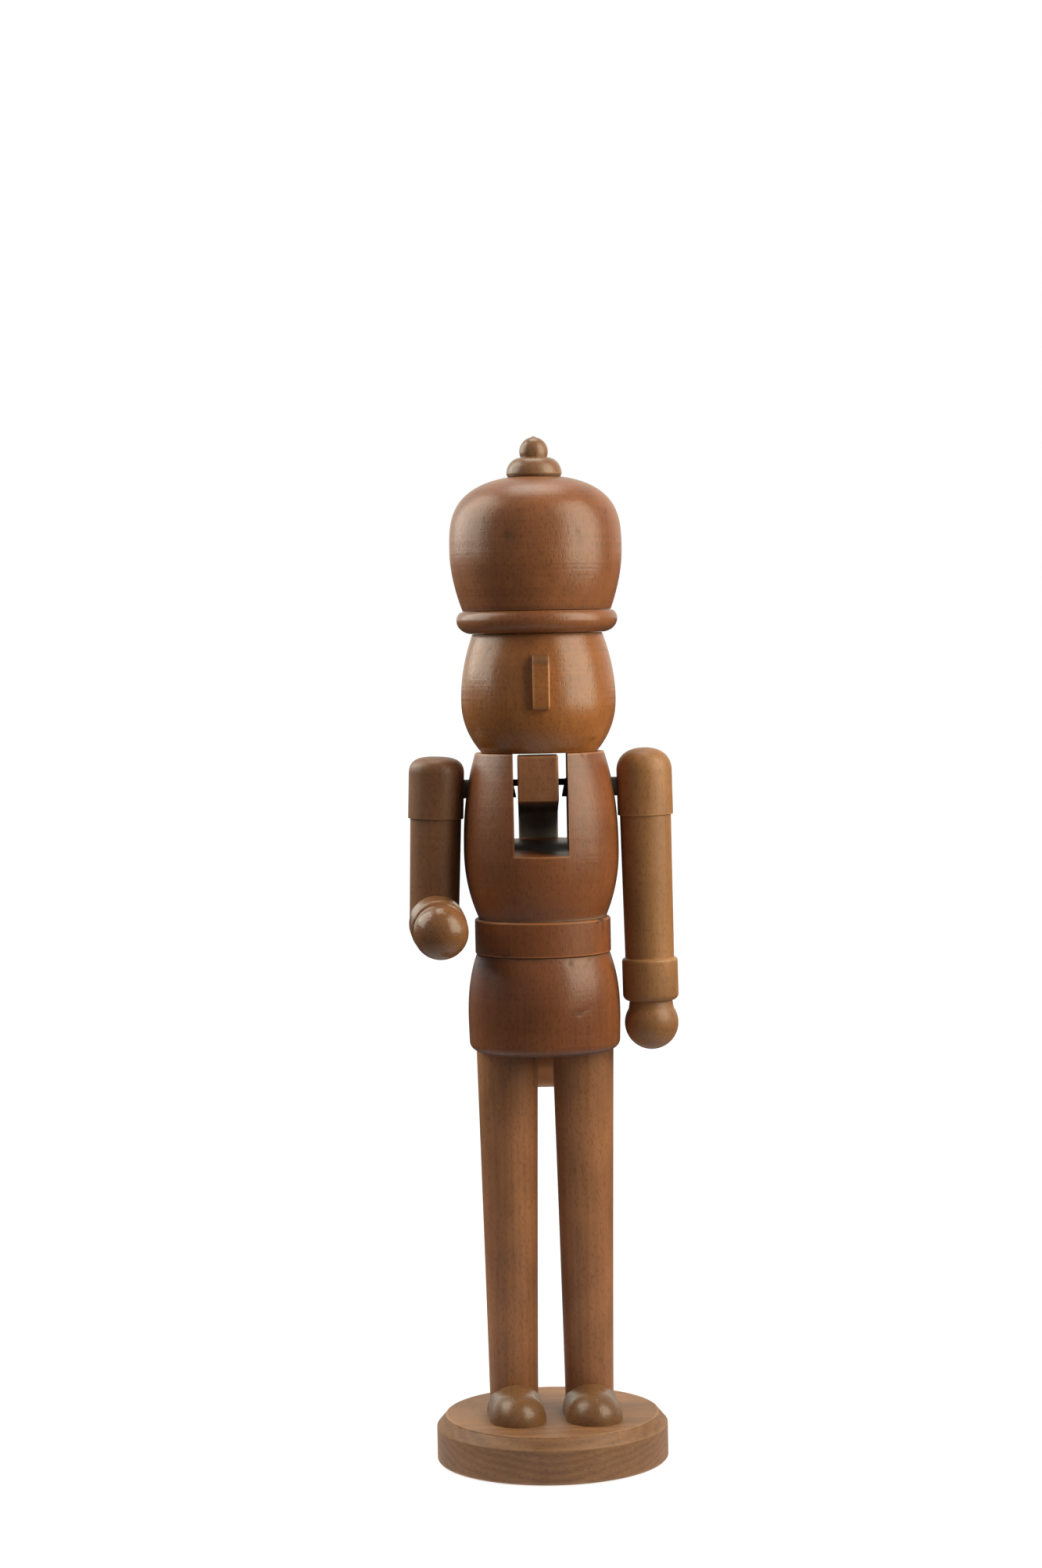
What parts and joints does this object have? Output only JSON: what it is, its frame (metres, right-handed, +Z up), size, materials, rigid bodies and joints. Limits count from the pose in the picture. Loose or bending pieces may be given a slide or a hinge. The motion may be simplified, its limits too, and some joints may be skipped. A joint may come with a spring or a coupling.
{
  "type": "wooden nutcracker",
  "caption": "Free-standing stained wooden soldier nutcracker on a round base, with a lever-worked jaw in its chest slot and arms that turn on shoulder dowels.",
  "frame": {"origin": "centre of the base's underside, on the surface the figure stands on", "axes": "+Z up, the figure faces -Y, its own right hand is on the -X side"},
  "size_m": [0.0997, 0.0938, 0.381],
  "materials": {
    "stained_wood": "brown stain under satin varnish",
    "raw_dowel": "bare, unvarnished",
    "steel_pin": "dull drawn wire"
  },
  "bodies": {
    "figure": {"base": "stained_wood", "leg_right": "stained_wood", "leg_left": "stained_wood", "leg_foot_dowel_right": "raw_dowel", "leg_foot_dowel_left": "raw_dowel", "leg_top_dowel_right": "raw_dowel", "leg_top_dowel_left": "raw_dowel", "shoe_right": "stained_wood", "shoe_left": "stained_wood", "skirt": "stained_wood", "belt": "stained_wood", "waist_dowel": "raw_dowel", "torso": "stained_wood", "lever_pin": "steel_pin", "head": "stained_wood", "nose": "stained_wood", "neck_dowel_right": "raw_dowel", "neck_dowel_left": "raw_dowel", "hat_brim": "stained_wood", "hat_crown": "stained_wood", "hat_dowel": "raw_dowel", "finial": "stained_wood", "shoulder_dowel_right": "raw_dowel", "shoulder_dowel_left": "raw_dowel"},
    "lever_body": {"jaw_lever": "stained_wood"},
    "right_arm_body": {"right_upper_arm": "stained_wood", "right_forearm": "stained_wood", "elbow_dowel": "raw_dowel"},
    "left_arm_body": {"left_arm": "stained_wood"}
  },
  "joints": [
    {"name": "jaw_hinge", "type": "hinge", "parent": "figure", "child": "lever_body", "pos_m": [0, 0.00605, 0.2527], "axis": [1, 0, 0], "range_deg": [0, 33]},
    {"name": "right_shoulder", "type": "hinge", "parent": "figure", "child": "right_arm_body", "pos_m": [-0.0386, 0, 0.251], "axis": [-1, 0, 0], "range_deg": [-195, 120]},
    {"name": "left_shoulder", "type": "hinge", "parent": "figure", "child": "left_arm_body", "pos_m": [0.0388, 0, 0.251], "axis": [-1, 0, 0], "range_deg": [-165, 165]}
  ]
}
